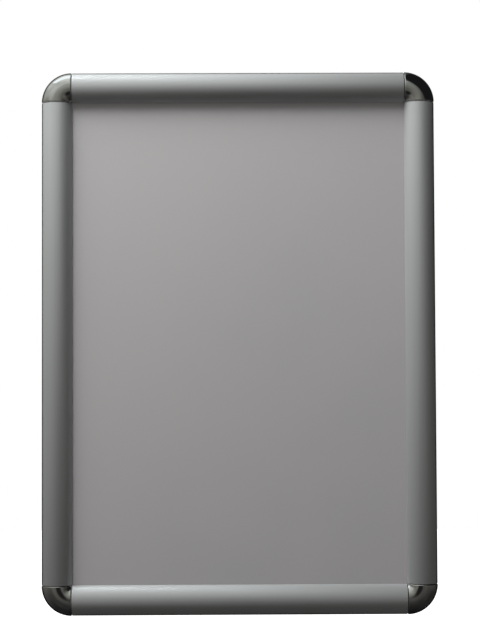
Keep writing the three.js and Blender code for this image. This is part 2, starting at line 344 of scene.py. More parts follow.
# Cuts other pieces out of one, and they are then gone
def carve(piece, cutters):
    for cutter in cutters:
        step = piece.modifiers.new("cut", "BOOLEAN")
        step.operation = "DIFFERENCE"
        step.solver = "EXACT"
        step.object = cutter
    view = bpy.context.evaluated_depsgraph_get()
    cutMesh = bpy.data.meshes.new_from_object(piece.evaluated_get(view))
    piece.modifiers.clear()
    piece.data = cutMesh
    shadeByAngle(cutMesh)
    for cutter in cutters:
        bpy.data.objects.remove(cutter)


# Puts other pieces into the first one's mesh
def joined(piece, others):
    work = bmesh.new()
    work.from_mesh(piece.data)
    for other in others:
        work.from_mesh(other.data)
        bpy.data.objects.remove(other)
    work.to_mesh(piece.data)
    work.free()
    shadeByAngle(piece.data)
    return piece


# Gives a piece its place and material, and its body, node and slot in the frame
def finishPiece(piece, axes, body, node, material):
    piece.matrix_world = axes
    piece.data.materials.clear()
    piece.data.materials.append(material)
    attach(piece, body)
    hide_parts(node)


# Anodised aluminium: etched and anodised, so it shows soft broad reflections with faint draw lines
anodised = {
    "colour": "#b4b7b8",
    "worn": "#c6c8c8",
    "metallic": 0.7,  # the oxide film scatters part of the light, so it looks half matte
    "roughness": 0.38,
    "line spacing": 0.9,  # real draw lines are about 0.2 mm, drawn coarser so that they show
    "line length": 220,
    "line depth": 0.006,
    "line contrast": 0.05,
    "haze size": 35,
}
# Beads and the edges that turn on them are painted near black: painted shade, the thin dark line round
# the frame
paintedHingeShade = {"colour": "#2e2d2b", "cover": 0.92}
etchGrain = {"per mm": 2.6, "share": 0.35}  # the etching's pits, also drawn coarser
dullness = {"haze": 0.03, "lines": 0.08}  # what they add to the roughness


def drawnAluminium(name, look):
    made, tree, place = newMaterial(name)
    spacing = 1 / (look["line spacing"] * mm)
    lengthwise = 1 / (look["line length"] * mm)
    drawn = addNode(tree, "ShaderNodeMapping", {
        "Vector": place,
        "Scale": (spacing, spacing, lengthwise),
    })
    lines = addNode(tree, "ShaderNodeTexNoise", {
        "Vector": drawn.outputs["Vector"],
        "Scale": 1.0,
        "Detail": 4.0,
        "Roughness": 0.6,
    }).outputs["Fac"]
    haze = addNode(tree, "ShaderNodeTexNoise", {
        "Vector": place,
        "Scale": 1 / (look["haze size"] * mm),
        "Detail": 3.0,
    }).outputs["Fac"]
    grain = addNode(tree, "ShaderNodeTexNoise", {
        "Vector": place,
        "Scale": etchGrain["per mm"] / mm,
        "Detail": 2.0,
    }).outputs["Fac"]
    # The attribute holds the edges' wear, and below zero the painted shade of the hinge
    wearAndShade = addNode(tree, "ShaderNodeAttribute", attribute_name="edgeWearAndShade").outputs["Fac"]
    lineTone = addNode(tree, "ShaderNodeMapRange", {
        "Value": lines,
        "From Min": noiseLow, "From Max": noiseHigh,
        "To Min": 1 - look["line contrast"], "To Max": 1.0,
    }).outputs["Result"]
    tone = addNode(tree, "ShaderNodeMix", {
        "Factor": 1.0,
        6: colour(look["colour"]), 7: lineTone,
    }, data_type="RGBA", blend_type="MULTIPLY").outputs[2]
    wornShare = addNode(tree, "ShaderNodeMath", {0: wearAndShade, 1: haze}, operation="MULTIPLY").outputs[0]
    # Painted shade: where the attribute is below zero, the hinge edges turn near black
    hingeShadeShare = addNode(tree, "ShaderNodeMapRange", {
        "Value": wearAndShade,
        "From Min": 0.0, "From Max": -0.5,
        "To Max": paintedHingeShade["cover"],
    }).outputs["Result"]
    for share, over in ((wornShare, look["worn"]), (hingeShadeShare, paintedHingeShade["colour"])):
        tone = addNode(tree, "ShaderNodeMix", {
            "Factor": share,
            6: tone, 7: colour(over),
        }, data_type="RGBA").outputs[2]
    hazeRough = addNode(tree, "ShaderNodeMapRange", {
        "Value": haze,
        "From Min": noiseLow, "From Max": noiseHigh,
        "To Min": look["roughness"] - dullness["haze"], "To Max": look["roughness"] + dullness["haze"],
    }).outputs["Result"]
    lineRough = addNode(tree, "ShaderNodeMath", {
        0: lines, 1: dullness["lines"], 2: hazeRough,
    }, operation="MULTIPLY_ADD").outputs[0]
    relief = addNode(tree, "ShaderNodeMath", {
        0: grain, 1: etchGrain["share"], 2: lines,
    }, operation="MULTIPLY_ADD").outputs[0]
    return dressed(made, relief, look["line depth"], strength=0.6, inputs={
        "Base Color": tone,
        "Metallic": look["metallic"],
        "Roughness": lineRough,
    })


anodisedAluminium = drawnAluminium("anodised aluminium", anodised)

# Aluminium as it leaves the die: not etched, so its lines are stronger. Its colour is darker partly as
# painted shade, for the thin dark line round the frame
asExtruded = {
    "colour": "#8d9294",
    "worn": "#b4b8b9",
    "metallic": 0.72,
    "roughness": 0.4,
    "line spacing": 0.7,
    "line length": 160,
    "line depth": 0.012,
    "line contrast": 0.12,
    "haze size": 20,
}
extrudedAluminium = drawnAluminium("extruded aluminium", asExtruded)


# Chromed ABS: a mirror with the faint waves of the moulding under it and fine handling marks
chrome = {
    "colour": "#d3d4d1",
    "handled": "#c6c7c4",
    "roughness": 0.07,
    "wave size": 6,
    "wave depth": 0.012,
    "scratch size": 0.5,  # real hairlines are finer, drawn so that they show
    "scratch stretch": (1, 9, 30),
    "scratch slant": (0.3, 0.9, 0.5),
    "scratch dullness": 0.08,
}


def chromedAbs():
    made, tree, place = newMaterial("chromed ABS")
    waves = addNode(tree, "ShaderNodeTexNoise", {
        "Vector": place,
        "Scale": 1 / (chrome["wave size"] * mm),
        "Detail": 2.0,
    }).outputs["Fac"]
    stretched = addNode(tree, "ShaderNodeMapping", {
        "Vector": place,
        "Rotation": chrome["scratch slant"],
        "Scale": chrome["scratch stretch"],
    })
    scratches = addNode(tree, "ShaderNodeTexNoise", {
        "Vector": stretched.outputs["Vector"],
        "Scale": 1 / (chrome["scratch size"] * chrome["scratch stretch"][2] * mm),
        "Detail": 5.0,
        "Roughness": 0.7,
    }).outputs["Fac"]
    dulled = addNode(tree, "ShaderNodeMapRange", {
        "Value": scratches,
        "From Min": 0.55, "From Max": 0.8,
        "To Min": chrome["roughness"], "To Max": chrome["roughness"] + chrome["scratch dullness"],
    }).outputs["Result"]
    tint = addNode(tree, "ShaderNodeMix", {
        "Factor": scratches,
        6: colour(chrome["colour"]), 7: colour(chrome["handled"]),
    }, data_type="RGBA").outputs[2]
    return dressed(made, waves, chrome["wave depth"], strength=1.0, inputs={
        "Base Color": tint,
        "Metallic": 1.0,
        "Roughness": dulled,
    })


chromedPlastic = chromedAbs()


# Zinc plated and blued steels: a cloudy tone broken up by fine crystals
steels = {
    "zinc plated key": {
        "colour": "#8f9394", "clouds": "#a9aca9",
        "roughness": 0.46, "cell": 2.2, "depth": 0.008,
    },
    "blued spring steel": {
        "colour": "#55585c", "clouds": "#77797b",
        "roughness": 0.33, "cell": 1.1, "depth": 0.004,
    },
    "zinc plated screw": {
        "colour": "#a4a49b", "clouds": "#bdbdb4",
        "roughness": 0.34, "cell": 0.8, "depth": 0.003,
    },
}
cloudSize = 6  # clouds are this many crystals wide
crystalShare = 0.3  # of the crystals' tone, added to the clouds


def platedSteel(name):
    look = steels[name]
    made, tree, place = newMaterial(name)
    cells = addNode(tree, "ShaderNodeTexVoronoi", {
        "Vector": place,
        "Scale": 1 / (look["cell"] * mm),
    })
    clouds = addNode(tree, "ShaderNodeTexNoise", {
        "Vector": place,
        "Scale": 1 / (cloudSize * look["cell"] * mm),
        "Detail": 4.0,
    }).outputs["Fac"]
    crystals = addNode(tree, "ShaderNodeSeparateColor", {
        "Color": cells.outputs["Color"],
    }).outputs["Red"]
    mixed = addNode(tree, "ShaderNodeMath", {
        0: crystals, 1: crystalShare, 2: clouds,
    }, operation="MULTIPLY_ADD").outputs[0]
    tone = addNode(tree, "ShaderNodeMapRange", {
        "Value": mixed,
        "From Min": 0.35, "From Max": 0.9,
    }).outputs["Result"]
    tint = addNode(tree, "ShaderNodeMix", {
        "Factor": tone,
        6: colour(look["colour"]), 7: colour(look["clouds"]),
    }, data_type="RGBA").outputs[2]
    rough = addNode(tree, "ShaderNodeMapRange", {
        "Value": mixed,
        "From Min": 0.3, "From Max": 0.9,
        "To Min": look["roughness"] - 0.06, "To Max": look["roughness"] + 0.08,
    }).outputs["Result"]
    return dressed(made, mixed, look["depth"], strength=0.7, inputs={
        "Base Color": tint,
        "Metallic": 1.0,
        "Roughness": rough,
    })


zincKey = platedSteel("zinc plated key")
springSteel = platedSteel("blued spring steel")
zincScrew = platedSteel("zinc plated screw")


# Sheets: PVC film is matte against glare, polystyrene has the dull grain of its rollers
sheets = {
    "anti-glare PVC": {
        "colour": "#98989a", "cloud": "#9b999b",
        "roughness": 0.42, "IOR": 1.53,
        "grain": 0.5,  # the frosting is about 0.05 mm, drawn coarser so that it shows
        "cloud size": 170,
        "depth": 0.01,
    },
    "polystyrene": {
        "colour": "#8f8d8e", "cloud": "#959293",
        "roughness": 0.55, "IOR": 1.59,
        "grain": 0.8,
        "cloud size": 60,
        "depth": 0.03,
    },
}


def plasticSheet(name):
    look = sheets[name]
    made, tree, place = newMaterial(name)
    clouds = addNode(tree, "ShaderNodeTexNoise", {
        "Vector": place,
        "Scale": 1 / (look["cloud size"] * mm),
        "Detail": 3.0,
        "Roughness": 0.55,
    }).outputs["Fac"]
    grain = addNode(tree, "ShaderNodeTexNoise", {
        "Vector": place,
        "Scale": 1 / (look["grain"] * mm),
        "Detail": 3.0,
        "Roughness": 0.65,
    }).outputs["Fac"]
    cloudShare = addNode(tree, "ShaderNodeMapRange", {
        "Value": clouds,
        "From Min": 0.35, "From Max": 0.65,
    }).outputs["Result"]
    tint = addNode(tree, "ShaderNodeMix", {
        "Factor": cloudShare,
        6: colour(look["colour"]), 7: colour(look["cloud"]),
    }, data_type="RGBA").outputs[2]
    speck = addNode(tree, "ShaderNodeMapRange", {
        "Value": grain,
        "From Min": noiseLow, "From Max": noiseHigh,
        "To Min": 0.975, "To Max": 1.02,
    }).outputs["Result"]
    speckled = addNode(tree, "ShaderNodeMix", {
        "Factor": 1.0,
        6: tint, 7: speck,
    }, data_type="RGBA", blend_type="MULTIPLY").outputs[2]
    rough = addNode(tree, "ShaderNodeMapRange", {
        "Value": clouds,
        "From Min": noiseLow, "From Max": noiseHigh,
        "To Min": look["roughness"] - 0.04, "To Max": look["roughness"] + 0.06,
    }).outputs["Result"]
    return dressed(made, grain, look["depth"], strength=0.5, inputs={
        "Base Color": speckled,
        "Roughness": rough,
        "IOR": look["IOR"],
    })


antiGlarePvc = plasticSheet("anti-glare PVC")
polystyrene = plasticSheet("polystyrene")
print("materials made")


# Each side has its own axes: x inward, y toward the viewer, z along the rail
def sideAxes(side):
    inward = side["inward"]
    along = inward.cross(towardViewer)
    axes = Matrix((inward, towardViewer, along)).transposed().to_4x4()
    axes.translation = middle - inward * side["reach"] * mm
    return axes


# How far each outer edge is from the middle, how long its window edge is, and where its springs sit
shortSide = {"reach": outerHeight / 2, "window": windowWidth, "springs": (-0.3, 0.3)}
longSide = {"reach": outerWidth / 2, "window": windowHeight, "springs": (-0.36, 0, 0.36)}
sides = {
    "top": {"inward": Vector((0, 0, -1)), **shortSide},
    "bottom": {"inward": Vector((0, 0, 1)), **shortSide},
    "left": {"inward": Vector((1, 0, 0)), **longSide},
    "right": {"inward": Vector((-1, 0, 0)), **longSide},
}

# Snap rail: rounded cover with a socket round the hinge bead and a foot on the sheet
snapRail = {
    "wall": 1.3,
    "bead radius": 1.2,
    "socket clearance": 0.15,
    "socket wall": 1.0,
    "spur reach": 0.75,  # how far the spur that the springs push stands out of the socket
    "socket top": 105,  # these four are degrees round the bead
    "socket end": -94,
    "spur root": -64,
    "spur tip": -74,
    "edge": 0.22,
    "outer bend": 2.0,  # how far inward the crown starts to bend down toward the hinge
    "bend drop": 0.6,
    "bend steps": 6,
    "hinge shade edge": 1.4,  # the painted shade reaches this far inward, above this height
    "hinge shade from": 6.2,
    "cut arris": 0.1,
    "step": 1.5,  # degrees from one facet of the crown to the next
}
pivot = sizes["pivot"]
socketInner = snapRail["bead radius"] + snapRail["socket clearance"]
socketOuter = socketInner + snapRail["socket wall"]
socketCorner = polar(pivot, socketOuter, snapRail["socket top"])
lipCorner = (profile, sizes["lip"][1])
outerCrown = crownArc(socketCorner)
innerCrown = crownArc(lipCorner)


def snapOutline():
    outerInside = shrunk(outerCrown, snapRail["wall"])
    innerInside = shrunk(innerCrown, snapRail["wall"])
    footInner = profile - sizes["foot"]
    footTop = overAt(innerInside, footInner)
    inCorner = circlesMeet(outerInside, (pivot, socketOuter))
    fine, coarse = snapRail["step"], 4 * snapRail["step"]
    bendEnd = overAt(outerCrown, snapRail["outer bend"])
    socketMouth = Vector(polar(pivot, socketInner, snapRail["socket top"]))
    down = (socketMouth - Vector(socketCorner)).normalized()
    bendStart = Vector(socketCorner) + down * snapRail["bend drop"]
    points = bend(bendStart, socketCorner, bendEnd, snapRail["bend steps"])
    points += crownBetween(outerCrown, bendEnd, innerCrown, lipCorner, fine)
    points += [(profile, sizes["lip"][0]), (footInner, sizes["lip"][0])]
    points += crownBetween(innerInside, footTop, outerInside, inCorner, 2 * fine)
    points += arc(pivot, socketOuter, angleTo(pivot, inCorner), snapRail["spur root"], coarse)
    spurRadius = socketOuter + snapRail["spur reach"]
    points += arc(pivot, spurRadius, snapRail["spur tip"], snapRail["socket end"], coarse)
    points += arc(pivot, socketInner, snapRail["socket end"], snapRail["socket top"], coarse)
    # Painted shade on the socket's outer edge, marked below zero
    hingeShadeReach = snapRail["hinge shade edge"], snapRail["hinge shade from"]
    outline = soften(points, snapRail["edge"])
    return [(x, y, -1.0 if x < hingeShadeReach[0] and y > hingeShadeReach[1] else worn) for x, y, worn in outline]


for name, side in sides.items():
    length = side["window"] - 2 * sizes["rail end gap"]
    rail = extruded(f"snap_profile_{name}", snapOutline(), length, snapRail["cut arris"])
    axes, node = sideAxes(side), f"snap_rail_{name}"
    finishPiece(rail, axes, f"snap_{name}", node, anodisedAluminium)
print("snap rails made")

# Base rail: outer wall with the hinge bead, web on the wall, rib that stops the sheets
baseRail = {
    "width": 24,
    "outer wall": 1.1,
    "rib": (13.0, 14.2),
    "nib": (0.9, 0.8),
    "rim drop": 1.4,
    "rim angle": 210,
    "edge": 0.18,
    "cut arris": 0.12,
    "channel": 17.27,  # line of the screws, from the window's edge
    "screw hole": 1.45,
    "sink": 2.8,
    "wall hole": 2.25,
    "wall hole shares": (-0.18, 0.18),
    "bead step": 5,
    "past the web": 1.5,  # how far the drills go beyond it
}


def baseOutline():
    web, top = sizes["web"], sizes["sheet top"]
    wall, bead = baseRail["outer wall"], snapRail["bead radius"]
    ribOuter, ribInner = baseRail["rib"]
    nibDepth, nibThickness = baseRail["nib"]
    neckDrop = math.sqrt(bead ** 2 - (pivot[0] - wall) ** 2)
    points = [
        (0, 0), (baseRail["width"], 0), (baseRail["width"], web),
        (ribInner, web), (ribInner, top),
        (ribOuter - nibDepth, top),
        (ribOuter - nibDepth, top - nibThickness),
        (ribOuter, top - nibThickness),
        (ribOuter, web), (wall, web),
    ]
    neck = (wall, pivot[1] - neckDrop)
    points += arc(pivot, bead, angleTo(pivot, neck), baseRail["rim angle"], baseRail["bead step"])
    points.append((0, pivot[1] - baseRail["rim drop"]))
    # Painted shade on the hinge bead, marked below zero
    hingeShadeReach = bead + 0.01  # just past the bead's own face
    outline = soften(points, baseRail["edge"])
    return [(x, y, -1.0 if math.dist((x, y), pivot) < hingeShadeReach else worn) for x, y, worn in outline]


# Countersunk holes for the key screws, and the wall holes of the long rails
def railHoles(side):
    across = profile - baseRail["channel"]
    web = sizes["web"]
    low, high = -baseRail["past the web"], web + baseRail["past the web"]
    sink, hole = baseRail["sink"], baseRail["screw hole"]
    cutters = []
    for end in (-1, 1):
        place = (across, end * (side["window"] / 2 - sizes["key screw inset"]))
        outline = [(0, low), (sink, low), (sink, 0), (hole, web), (hole, high), (0, high)]
        cutters.append(turned("sink", outline, facetCounts["hole"], place))
    if side["window"] == windowHeight:
        radius = baseRail["wall hole"]
        for share in baseRail["wall hole shares"]:
            place = (across, share * side["window"])
            outline = [(0, low), (radius, low), (radius, high), (0, high)]
            cutters.append(turned("wallHole", outline, facetCounts["wall hole"], place))
    return cutters


for name, side in sides.items():
    length = side["window"] - 2 * sizes["rail end gap"]
    rail = extruded(f"base_profile_{name}", baseOutline(), length, baseRail["cut arris"])
    carve(rail, railHoles(side))
    axes, node = sideAxes(side), f"base_rail_{name}"
    finishPiece(rail, axes, "root", node, extrudedAluminium)
print("base rails made")

# Leaf springs: bowed steel strips between the rib and the snap rail's spur
spring = {
    "thickness": 0.3,
    "width": 10,
    "bow": 1.2,
    "seat angle": -62,
    "seat gap": 0.25,
    "inner seat": (12.75, 2.4),
    "turn from": (6.4, 2.4),  # inward of this the strip stays with the base rail
    "turn to": (3.1, 2.4),  # outward of this it turns with the snap rail
    "step": 2,
    "edge": 0.12,
    "arris": 0.08,
}


def springOutline():
    half = spring["thickness"] / 2
    outer = Vector(polar(pivot, socketOuter + spring["seat gap"] + half, spring["seat angle"]))
    inner = Vector(spring["inner seat"])
    chord = inner - outer
    radius = ((chord.length / 2) ** 2 + spring["bow"] ** 2) / (2 * spring["bow"])
    upward = Vector((-chord.y, chord.x)).normalized()
    centre = tuple((outer + inner) / 2 + upward * (spring["bow"] - radius))
    start, end = angleTo(centre, outer), angleTo(centre, inner)
    points = arc(centre, radius + half, start, end, spring["step"])
    points += arc(centre, radius - half, end, start, spring["step"])
    return soften(points, spring["edge"], sharp=50)


for name, side in sides.items():
    axes = sideAxes(side)
    for i, share in enumerate(side["springs"]):
        pieceName = f"leaf_spring_{name}_{i + 1}"
        strip = extruded(pieceName, springOutline(), spring["width"], spring["arris"])
        along = share * side["window"]
        strip.matrix_world = axes @ Matrix.Translation((0, 0, along * mm))
        strip.data.materials.append(springSteel)
        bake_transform(strip)
        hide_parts(f"rail_spring_{name}_{i + 1}")
print("springs made")

# Corner caps: quarter-turned shells of the snap rail's own curve, with a boss for the screw
cap = {
    "wall": 1.8,
    "edge": 0.3,
    "rim": 1.3,  # size of the bend between the crown and the outer wall
    "rim steps": 8,
    "cavity step": 4,
    "end arris": 0.8,
    "lip arris": 0.3,  # the lip is too thin for the full one
    "tip": 0.3,  # how far from the window's corner the lip ends
    "tip angle": 7,  # half the angle that the lip keeps there
    "facets": 40,
    "end steps": 5,
    "boss radius": 2.6,
    "boss bottom": 3.6,
    "boss arris": 0.2,
    "pilot mouth": 0.3,
    "pilot radius": 1.45,
    "pilot top": 8.75,
    "web": (0.15, 0.95),  # how far behind the end it starts and stops
    "web foot": [(24.0, 3.7), (10.6, 3.7), (10.6, 4.75), (2.2, 4.75)],  # clears the key and the sheets
}
screwPlace = baseRail["channel"] / math.sqrt(2)


# Outline by radius from the window's corner and height from the wall, starting on the axis
def capOutline():
    innerInside = shrunk(innerCrown, cap["wall"])
    outerInside = shrunk(outerCrown, cap["wall"])
    rim = overAt(outerCrown, 0)
    bendEnd = overAt(outerCrown, cap["rim"])
    fine, coarse = snapRail["step"], cap["cavity step"]
    points = bend((0, rim[1] - cap["rim"]), rim, bendEnd, cap["rim steps"])
    points += crownBetween(outerCrown, bendEnd, innerCrown, lipCorner, fine)
    outside = [(profile - x, y) for x, y in points][:-1]
    wallTop = overAt(outerInside, cap["wall"])
    footTop = overAt(innerInside, profile - sizes["foot"])
    cavity = crownBetween(outerInside, wallTop, innerInside, footTop, coarse)
    inside = [(profile - x, y) for x, y in cavity]
    lipLow, lipHigh = sizes["lip"]
    shell = [(profile - cap["wall"], 0), (profile, 0), *outside]
    shell += [(cap["tip"], lipHigh), (cap["tip"], lipLow), (sizes["foot"], lipLow)]
    shell += reversed(inside)
    return soften(shell, cap["edge"], sharp=35)


# Thin webs that close the hollow cap toward both rails, so that no light shows through the joint
def endWebs():
    outer, inner = shrunk(outerCrown, cap["wall"] / 2), shrunk(innerCrown, cap["wall"] / 2)
    foot = cap["web foot"]
    outerEnd = overAt(outer, profile - foot[0][0])
    innerEnd = overAt(inner, profile - foot[-1][0])
    roof = crownBetween(inner, innerEnd, outer, outerEnd, cap["cavity step"])
    outline = withoutRepeats(foot + [(profile - x, y) for x, y in roof])
    towardSide = fromRings("web", [[(r, h, back) for r, h in outline] for back in cap["web"]])
    towardTop = fromRings("web", [[(back, h, r) for r, h in outline] for back in cap["web"]])
    return [towardSide, towardTop]


# Sweeps the cap's outline round the corner, with an arris at both ends, and adds the boss and the webs
def cornerCap(name):
    outline = capOutline()
    steps = arrisSteps(cap["end arris"], cap["end steps"])
    count = cap["facets"]
    lipEnd = sizes["foot"] + cap["end arris"]
    tip = math.radians(45 - cap["tip angle"])
    rings = []
    stations = [(inward, shrink, 0.0) for inward, shrink in steps]
    stations += [(steps[-1][0], 0.0, i / count) for i in range(1, count)]
    stations += [(inward, shrink, 1.0) for inward, shrink in reversed(steps)]
    for inward, shrink, share in stations:
        ring = []
        full = inset(outline, shrink)
        small = inset(outline, shrink * cap["lip arris"] / cap["end arris"])
        for i, source in enumerate(outline):
            radius, height = full[i] if source[0] > lipEnd else small[i]
            closest = math.asin(min(math.sin(tip), inward / radius))
            angle = closest + (math.pi / 2 - 2 * closest) * share
            ring.append((radius * math.cos(angle), height, radius * math.sin(angle)))
        rings.append(ring)
    shell = fromRings(name, rings)
    bore, mouth = cap["pilot radius"], cap["pilot mouth"]
    radius, bottom, arris = cap["boss radius"], cap["boss bottom"], cap["boss arris"]
    bossEdge = profile - baseRail["channel"] - radius
    over = overAt(outerCrown, bossEdge)[1] - cap["wall"] / 2
    boss = turned("boss", [
        (0, cap["pilot top"]), (bore, cap["pilot top"]),
        (bore, bottom + mouth), (bore + mouth, bottom),
        (radius - arris, bottom), (radius, bottom + arris),
        (radius, over), (0, over),
    ], facetCounts["boss"], (screwPlace, screwPlace))
    return joined(shell, [boss, *endWebs()])


corners = {
    "top_left": (-1, 1),
    "top_right": (1, 1),
    "bottom_left": (-1, -1),
    "bottom_right": (1, -1),
}


# A corner's x and z point outward from the window's corner, y toward the viewer
def cornerAxes(right, up):
    sideways, upward = Vector((right, 0, 0)), Vector((0, 0, up))
    x, z = (sideways, upward) if right * up < 0 else (upward, sideways)
    axes = Matrix((x, towardViewer, z)).transposed().to_4x4()
    axes.translation = middle + Vector((right * windowWidth / 2, 0, up * windowHeight / 2)) * mm
    return axes


for name, (right, up) in corners.items():
    shell, axes = cornerCap(f"chrome_cap_{name}"), cornerAxes(right, up)
    finishPiece(shell, axes, "root", f"corner_cap_{name}", chromedPlastic)
print("corner caps made")

# Corner keys: L-shaped plates that join two base rails, each with three screw holes
key = {"arm": 25, "radii": (14.54, 20.0), "step": 4, "corner": 1.2, "edge": 0.35}
armPlaces = [
    (baseRail["channel"], -sizes["key screw inset"]),
    (-sizes["key screw inset"], baseRail["channel"]),
]


def keyPlate(name):
    low, high = sizes["key"]
    inner, outer = key["radii"]
    arm = key["arm"]
    points = [(outer, -arm)] + arc(origin, outer, 0, 90, key["step"]) + [(-arm, outer)]
    points += [(-arm, inner)] + arc(origin, inner, 90, 0, key["step"]) + [(inner, -arm)]
    outline = soften(points, key["corner"], sharp=40)
    places = arrisPlaces(low, high, key["edge"])
    rings = [[(x, height, z) for x, z in inset(outline, shrink)] for height, shrink in places]
    plate = fromRings(name, rings)
    radius, past = baseRail["screw hole"], 1
    tube = [(0, low - past), (radius, low - past), (radius, high + past), (0, high + past)]
    places = [(screwPlace, screwPlace), *armPlaces]
    carve(plate, [turned("hole", tube, facetCounts["hole"], place) for place in places])
    return plate


# Screws: cross recessed, with a rolled thread
screw = {
    "head radius": 2.5,
    "head bottom": 0.15,
    "head height": 1.0,
    "dome": 0.42,
    "dome angles": (20, 40, 60, 75),
    "rim": 0.5,
    "arris": 0.12,
    "sunk arris": 0.08,
    "neck": 0.3,
    "overlap": 0.1,  # of head and thread
    "shank radius": 1.2,
    "core radius": 0.92,
    "pitch": 0.8,
    "rows a turn": 8,
    "flank": 3.2,  # steepness of the thread's ridge
    "tip length": 1.4,
    "tip": 0.35,  # how thin the point gets, as a share
    "blunt": 0.15,
    "cap screw tip": 8.15,
    "recess": (2.6, 0.7, 0.65),
    "recess taper": 0.55,
    "recess start": 0.5,
}


def threaded(name, bottom, top, place):
    facets = facetCounts["thread"]
    rows = max(4, round((top - bottom) / screw["pitch"] * screw["rows a turn"]))
    rings = []
    core, tip = screw["core radius"], screw["tip"]
    depth = screw["shank radius"] - core
    for row in range(rows + 1):
        height = bottom + (top - bottom) * row / rows
        taper = min(1.0, (top - height) / screw["tip length"] + screw["blunt"])
        rings.append([])
        for i in range(facets):
            phase = (height / screw["pitch"] + i / facets) % 1
            ridge = max(0.0, 1 - abs(phase - 0.5) * screw["flank"])
            radius = (core + depth * ridge) * (tip + (1 - tip) * taper)
            x, z = polar(place, radius, 360 * i / facets)
            rings[-1].append((x, height, z))
    return fromRings(name, rings)


# Two tapered bars that cut the cross into a head
def recessCutters(place):
    length, width, depth = screw["recess"]
    low = screw["head bottom"] - screw["recess start"]
    high = screw["head bottom"] + depth
    cutters = []
    for across, along in ((length, width), (width, length)):
        bar = [(x * across / 2, z * along / 2) for x, z in ((-1, -1), (1, -1), (1, 1), (-1, 1))]
        rings = []
        for height, share in ((low, 1.0), (high, screw["recess taper"])):
            rings.append([(place[0] + x * share, height, place[1] + z * share) for x, z in bar])
        cutters.append(fromRings("recess", rings))
    return cutters


# Cuts the recess into a turned head and adds the thread
def screwFrom(name, outline, place, start, tip):
    head = turned(name, outline, facetCounts["head"], place)
    carve(head, recessCutters(place))
    return joined(head, [threaded("thread", start, tip, place)])


def capScrew(name):
    bottom, radius = screw["head bottom"], screw["head radius"]
    top, core, arris = bottom + screw["head height"], screw["core radius"], screw["arris"]
    outline = [(0, bottom)]
    for turn in map(math.radians, screw["dome angles"]):
        outline.append((radius * math.sin(turn), bottom + screw["dome"] * (1 - math.cos(turn))))
    outline += [(radius, bottom + screw["rim"]), (radius, top - arris), (radius - arris, top)]
    outline += [(core, top), (core, top + screw["neck"]), (0, top + screw["neck"])]
    place = (screwPlace, screwPlace)
    return screwFrom(name, outline, place, top - screw["overlap"], screw["cap screw tip"])


def keyScrew(name, place):
    bottom, radius = screw["head bottom"], screw["head radius"]
    web, arris, overlap = sizes["web"], screw["sunk arris"], screw["overlap"]
    outline = [(0, bottom), (radius - arris, bottom), (radius, bottom + arris)]
    outline += [(screw["shank radius"], web), (screw["core radius"], web + overlap), (0, web + overlap)]
    return screwFrom(name, outline, place, web - overlap, sizes["key"][1])


for name, (right, up) in corners.items():
    axes = cornerAxes(right, up)
    plate = keyPlate(f"key_plate_{name}")
    finishPiece(plate, axes, "root", f"corner_key_{name}", zincKey)
    middleScrew = capScrew(f"boss_screw_{name}")
    finishPiece(middleScrew, axes, "root", f"cap_screw_{name}", zincScrew)
    for i, place in enumerate(armPlaces):
        armScrew, node = keyScrew(f"arm_screw_{name}_{i + 1}", place), f"key_screw_{name}_{i + 1}"
        finishPiece(armScrew, axes, "root", node, zincScrew)
print("keys and screws made")

# The two sheets keep their solids, sharp as a guillotine cuts them
for name, material in (("back_panel", polystyrene), ("cover_sheet", antiGlarePvc)):
    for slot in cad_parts[name].material_slots:
        slot.material = material
print("sheets dressed")

# Camera where the photograph was taken from
camera = {
    "lens": 85,
    "sensor": 36,
    "place": (-0.00608, -1.25847, -0.23847),
    "pitch": 2.007,
    "yaw": -0.325,
    "roll": 0.237,
}
eye = bpy.data.cameras.new("camera")
eye.lens = camera["lens"]
eye.sensor_width = camera["sensor"]
eyeObject = newObject("camera", eye)
aim = Matrix.Translation(camera["place"])
for turn, axis in ((camera["yaw"], "Z"), (camera["pitch"], "X"), (camera["roll"], "Y"), (90, "X")):
    aim = aim @ Matrix.Rotation(math.radians(turn), 4, axis)
eyeObject.matrix_world = aim
bpy.context.scene.camera = eyeObject

# Soft lamps: the key hangs high on the left and grazes the sheets, the other lights the back
lamps = {
    "key": {"place": (-0.62, -0.34, 1.05), "size": 0.55, "power": 66, "colour": "#fffefd"},
    "back": {"place": (0.5, 1.3, 0.5), "size": 1.2, "power": 20, "colour": "#ffffff"},
}
for name, look in lamps.items():
    lamp = bpy.data.lights.new(name, "AREA")
    lamp.shape = "SQUARE"
    lamp.size = look["size"]
    lamp.energy = look["power"]
    lamp.color = colour(look["colour"])[:3]
    lampObject = newObject(name, lamp)
    toward = middle - Vector(look["place"])
    lampObject.location = look["place"]
    lampObject.rotation_mode = "QUATERNION"
    lampObject.rotation_quaternion = toward.to_track_quat("-Z", "Y")
    lampObject.visible_glossy = False  # the metal mirrors the softbox and the room instead


# One for what the camera, a mirror or glass shows, and zero for the light on the frame
def shownShare(tree):
    rays = addNode(tree, "ShaderNodeLightPath")
    shown = rays.outputs["Is Camera Ray"]
    for kind in ("Is Glossy Ray", "Is Transmission Ray"):
        shown = addNode(tree, "ShaderNodeMath", {
            0: shown, 1: rays.outputs[kind],
        }, operation="MAXIMUM").outputs[0]
    return shown


